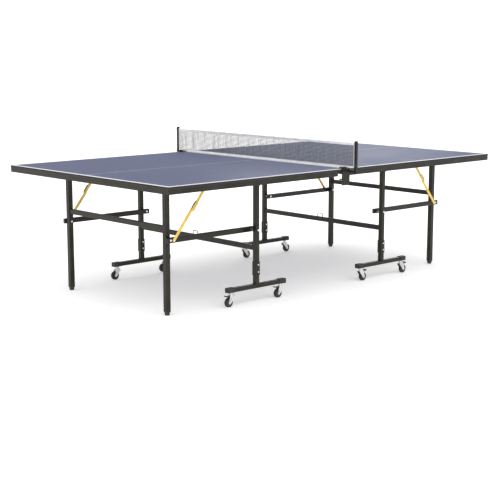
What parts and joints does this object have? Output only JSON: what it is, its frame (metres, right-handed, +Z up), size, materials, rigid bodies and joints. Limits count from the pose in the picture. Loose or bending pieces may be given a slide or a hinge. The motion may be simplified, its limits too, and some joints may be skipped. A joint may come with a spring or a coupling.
{
  "type": "table tennis table",
  "caption": "Regulation folding table tennis table in two wheeled halves with black steel legs, yellow knee stays and a clamped net.",
  "frame": {"origin": "on the floor under the middle of the net", "axes": "+X along the table towards half b, +Y across it, +Z up"},
  "size_m": [2.74, 1.656, 0.923],
  "materials": {
    "board": "matte painted fibreboard with white lines and black edges",
    "black_steel": "satin black powder coat",
    "yellow_steel": "satin yellow paint",
    "zinc_steel": "bright zinc plating",
    "black_plastic": "moulded black plastic",
    "wheel_plastic": "black tread on a grey hub",
    "net_mesh": "knitted dark grey mesh with white cotton tapes"
  },
  "bodies": {
    "trolley_a": {"trolley_legs_a": "black_steel", "trolley_crossbar_a": "black_steel", "leg_sleeves_a": "black_steel", "trolley_hardware_a": "zinc_steel", "caster_beams_a": "black_steel", "beam_caps_a": "black_plastic"},
    "top_a": {"tabletop_a": "board", "apron_rails_a": "black_steel", "pivot_brackets_a": "black_steel", "pivot_bolts_a": "zinc_steel", "net_posts": "black_steel", "net": "net_mesh"},
    "end_frame_a": {"end_legs_a": "black_steel", "end_crossbar_a": "black_steel", "foot_tips_a": "black_plastic"},
    "links_a": {"side_links_a": "black_steel", "link_bolts_a": "zinc_steel"},
    "stay_upper_a": {"stay_uppers_a": "yellow_steel"},
    "stay_lower_a": {"stay_lowers_a": "yellow_steel"},
    "latch_a": {"storage_latch_a": "yellow_steel"},
    "caster_a_front_end": {"caster_fork_a_front_end": "zinc_steel"},
    "wheel_a_front_end": {"caster_wheel_a_front_end": "wheel_plastic"},
    "brake_a_end": {"brake_pedal_a_end": "black_plastic"},
    "caster_a_front_net": {"caster_fork_a_front_net": "zinc_steel"},
    "wheel_a_front_net": {"caster_wheel_a_front_net": "wheel_plastic"},
    "brake_a_net": {"brake_pedal_a_net": "black_plastic"},
    "caster_a_back_end": {"caster_fork_a_back_end": "zinc_steel"},
    "wheel_a_back_end": {"caster_wheel_a_back_end": "wheel_plastic"},
    "caster_a_back_net": {"caster_fork_a_back_net": "zinc_steel"},
    "wheel_a_back_net": {"caster_wheel_a_back_net": "wheel_plastic"},
    "trolley_b": {"trolley_legs_b": "black_steel", "trolley_crossbar_b": "black_steel", "leg_sleeves_b": "black_steel", "trolley_hardware_b": "zinc_steel", "caster_beams_b": "black_steel", "beam_caps_b": "black_plastic"},
    "top_b": {"tabletop_b": "board", "apron_rails_b": "black_steel", "pivot_brackets_b": "black_steel", "pivot_bolts_b": "zinc_steel"},
    "end_frame_b": {"end_legs_b": "black_steel", "end_crossbar_b": "black_steel", "foot_tips_b": "black_plastic"},
    "links_b": {"side_links_b": "black_steel", "link_bolts_b": "zinc_steel"},
    "stay_upper_b": {"stay_uppers_b": "yellow_steel"},
    "stay_lower_b": {"stay_lowers_b": "yellow_steel"},
    "latch_b": {"storage_latch_b": "yellow_steel"},
    "caster_b_front_end": {"caster_fork_b_front_end": "zinc_steel"},
    "wheel_b_front_end": {"caster_wheel_b_front_end": "wheel_plastic"},
    "brake_b_end": {"brake_pedal_b_end": "black_plastic"},
    "caster_b_front_net": {"caster_fork_b_front_net": "zinc_steel"},
    "wheel_b_front_net": {"caster_wheel_b_front_net": "wheel_plastic"},
    "brake_b_net": {"brake_pedal_b_net": "black_plastic"},
    "caster_b_back_end": {"caster_fork_b_back_end": "zinc_steel"},
    "wheel_b_back_end": {"caster_wheel_b_back_end": "wheel_plastic"},
    "caster_b_back_net": {"caster_fork_b_back_net": "zinc_steel"},
    "wheel_b_back_net": {"caster_wheel_b_back_net": "wheel_plastic"},
    "clamp_screw_front": {"clamp_screw_front": "black_plastic"},
    "clamp_screw_back": {"clamp_screw_back": "black_plastic"}
  },
  "joints": [
    {"name": "fold_a", "type": "hinge", "parent": "trolley_a", "child": "top_a", "pos_m": [-0.55, 0, 0.692], "axis": [0, 1, 0], "range_deg": [0, 90], "deforming": ["net"]},
    {"name": "end_legs_a", "type": "hinge", "parent": "top_a", "child": "end_frame_a", "pos_m": [-1.15, 0, 0.692], "axis": [0, 1, 0], "range_deg": [-90, 0]},
    {"name": "side_links_a", "type": "hinge", "parent": "trolley_a", "child": "links_a", "pos_m": [-0.55, 0, 0.425], "axis": [0, 1, 0], "range_deg": [0, 90]},
    {"name": "upper_stays_a", "type": "hinge", "parent": "top_a", "child": "stay_upper_a", "pos_m": [-0.885, 0, 0.728], "axis": [0, 1, 0], "range_deg": [0, 46.1]},
    {"name": "lower_stays_a", "type": "hinge", "parent": "links_a", "child": "stay_lower_a", "pos_m": [-1.13, 0, 0.425], "axis": [0, 1, 0], "range_deg": [-123.4, 0]},
    {"name": "latch_a", "type": "hinge", "parent": "top_a", "child": "latch_a", "pos_m": [-0.258, 0, 0.722], "axis": [0, 1, 0], "range_deg": [0, 35], "stiffness_Nm_per_rad": 0.5, "springref_deg": -11.46},
    {"name": "swivel_a_front_end", "type": "hinge", "parent": "trolley_a", "child": "caster_a_front_end", "pos_m": [-0.745, -0.545, 0.072], "axis": [0, 0, 1], "continuous": true},
    {"name": "roll_a_front_end", "type": "hinge", "parent": "caster_a_front_end", "child": "wheel_a_front_end", "pos_m": [-0.765, -0.545, 0.0275], "axis": [0, 1, 0], "continuous": true},
    {"name": "brake_a_end", "type": "hinge", "parent": "caster_a_front_end", "child": "brake_a_end", "pos_m": [-0.757, -0.545, 0.061], "axis": [0, -1, 0], "range_deg": [0, 10]},
    {"name": "swivel_a_front_net", "type": "hinge", "parent": "trolley_a", "child": "caster_a_front_net", "pos_m": [-0.355, -0.545, 0.072], "axis": [0, 0, 1], "continuous": true},
    {"name": "roll_a_front_net", "type": "hinge", "parent": "caster_a_front_net", "child": "wheel_a_front_net", "pos_m": [-0.375, -0.545, 0.0275], "axis": [0, 1, 0], "continuous": true},
    {"name": "brake_a_net", "type": "hinge", "parent": "caster_a_front_net", "child": "brake_a_net", "pos_m": [-0.367, -0.545, 0.061], "axis": [0, -1, 0], "range_deg": [0, 10]},
    {"name": "swivel_a_back_end", "type": "hinge", "parent": "trolley_a", "child": "caster_a_back_end", "pos_m": [-0.745, 0.545, 0.072], "axis": [0, 0, 1], "continuous": true},
    {"name": "roll_a_back_end", "type": "hinge", "parent": "caster_a_back_end", "child": "wheel_a_back_end", "pos_m": [-0.765, 0.545, 0.0275], "axis": [0, 1, 0], "continuous": true},
    {"name": "swivel_a_back_net", "type": "hinge", "parent": "trolley_a", "child": "caster_a_back_net", "pos_m": [-0.355, 0.545, 0.072], "axis": [0, 0, 1], "continuous": true},
    {"name": "roll_a_back_net", "type": "hinge", "parent": "caster_a_back_net", "child": "wheel_a_back_net", "pos_m": [-0.375, 0.545, 0.0275], "axis": [0, 1, 0], "continuous": true},
    {"name": "fold_b", "type": "hinge", "parent": "trolley_b", "child": "top_b", "pos_m": [0.55, 0, 0.692], "axis": [0, -1, 0], "range_deg": [0, 90]},
    {"name": "end_legs_b", "type": "hinge", "parent": "top_b", "child": "end_frame_b", "pos_m": [1.15, 0, 0.692], "axis": [0, -1, 0], "range_deg": [-90, 0]},
    {"name": "side_links_b", "type": "hinge", "parent": "trolley_b", "child": "links_b", "pos_m": [0.55, 0, 0.425], "axis": [0, -1, 0], "range_deg": [0, 90]},
    {"name": "upper_stays_b", "type": "hinge", "parent": "top_b", "child": "stay_upper_b", "pos_m": [0.885, 0, 0.728], "axis": [0, -1, 0], "range_deg": [0, 46.1]},
    {"name": "lower_stays_b", "type": "hinge", "parent": "links_b", "child": "stay_lower_b", "pos_m": [1.13, 0, 0.425], "axis": [0, -1, 0], "range_deg": [-123.4, 0]},
    {"name": "latch_b", "type": "hinge", "parent": "top_b", "child": "latch_b", "pos_m": [0.258, 0, 0.722], "axis": [0, -1, 0], "range_deg": [0, 35], "stiffness_Nm_per_rad": 0.5, "springref_deg": -11.46},
    {"name": "swivel_b_front_end", "type": "hinge", "parent": "trolley_b", "child": "caster_b_front_end", "pos_m": [0.745, -0.545, 0.072], "axis": [0, 0, 1], "continuous": true},
    {"name": "roll_b_front_end", "type": "hinge", "parent": "caster_b_front_end", "child": "wheel_b_front_end", "pos_m": [0.765, -0.545, 0.0275], "axis": [0, 1, 0], "continuous": true},
    {"name": "brake_b_end", "type": "hinge", "parent": "caster_b_front_end", "child": "brake_b_end", "pos_m": [0.757, -0.545, 0.061], "axis": [0, 1, 0], "range_deg": [0, 10]},
    {"name": "swivel_b_front_net", "type": "hinge", "parent": "trolley_b", "child": "caster_b_front_net", "pos_m": [0.355, -0.545, 0.072], "axis": [0, 0, 1], "continuous": true},
    {"name": "roll_b_front_net", "type": "hinge", "parent": "caster_b_front_net", "child": "wheel_b_front_net", "pos_m": [0.375, -0.545, 0.0275], "axis": [0, 1, 0], "continuous": true},
    {"name": "brake_b_net", "type": "hinge", "parent": "caster_b_front_net", "child": "brake_b_net", "pos_m": [0.367, -0.545, 0.061], "axis": [0, 1, 0], "range_deg": [0, 10]},
    {"name": "swivel_b_back_end", "type": "hinge", "parent": "trolley_b", "child": "caster_b_back_end", "pos_m": [0.745, 0.545, 0.072], "axis": [0, 0, 1], "continuous": true},
    {"name": "roll_b_back_end", "type": "hinge", "parent": "caster_b_back_end", "child": "wheel_b_back_end", "pos_m": [0.765, 0.545, 0.0275], "axis": [0, 1, 0], "continuous": true},
    {"name": "swivel_b_back_net", "type": "hinge", "parent": "trolley_b", "child": "caster_b_back_net", "pos_m": [0.355, 0.545, 0.072], "axis": [0, 0, 1], "continuous": true},
    {"name": "roll_b_back_net", "type": "hinge", "parent": "caster_b_back_net", "child": "wheel_b_back_net", "pos_m": [0.375, 0.545, 0.0275], "axis": [0, 1, 0], "continuous": true},
    {"name": "clamp_screw_front", "type": "hinge", "parent": "top_a", "child": "clamp_screw_front", "pos_m": [-0.034, -0.748, 0.695], "axis": [0, 0, 1], "continuous": true},
    {"name": "clamp_screw_back", "type": "hinge", "parent": "top_a", "child": "clamp_screw_back", "pos_m": [-0.034, 0.748, 0.695], "axis": [0, 0, 1], "continuous": true},
    {"name": "roll_apart", "type": "slide", "parent": "trolley_a", "child": "trolley_b", "axis": [1, 0, 0], "range_m": [0, 1]}
  ],
  "couplings": [
    {"joint": "end_legs_a", "follows": "fold_a", "ratio": -1},
    {"joint": "side_links_a", "follows": "fold_a", "ratio": 1},
    {"joint": "upper_stays_a", "follows": "fold_a", "ratio": 0.51186},
    {"joint": "lower_stays_a", "follows": "fold_a", "ratio": -1.3707},
    {"joint": "end_legs_b", "follows": "fold_b", "ratio": -1},
    {"joint": "side_links_b", "follows": "fold_b", "ratio": 1},
    {"joint": "upper_stays_b", "follows": "fold_b", "ratio": 0.51186},
    {"joint": "lower_stays_b", "follows": "fold_b", "ratio": -1.3707}
  ]
}
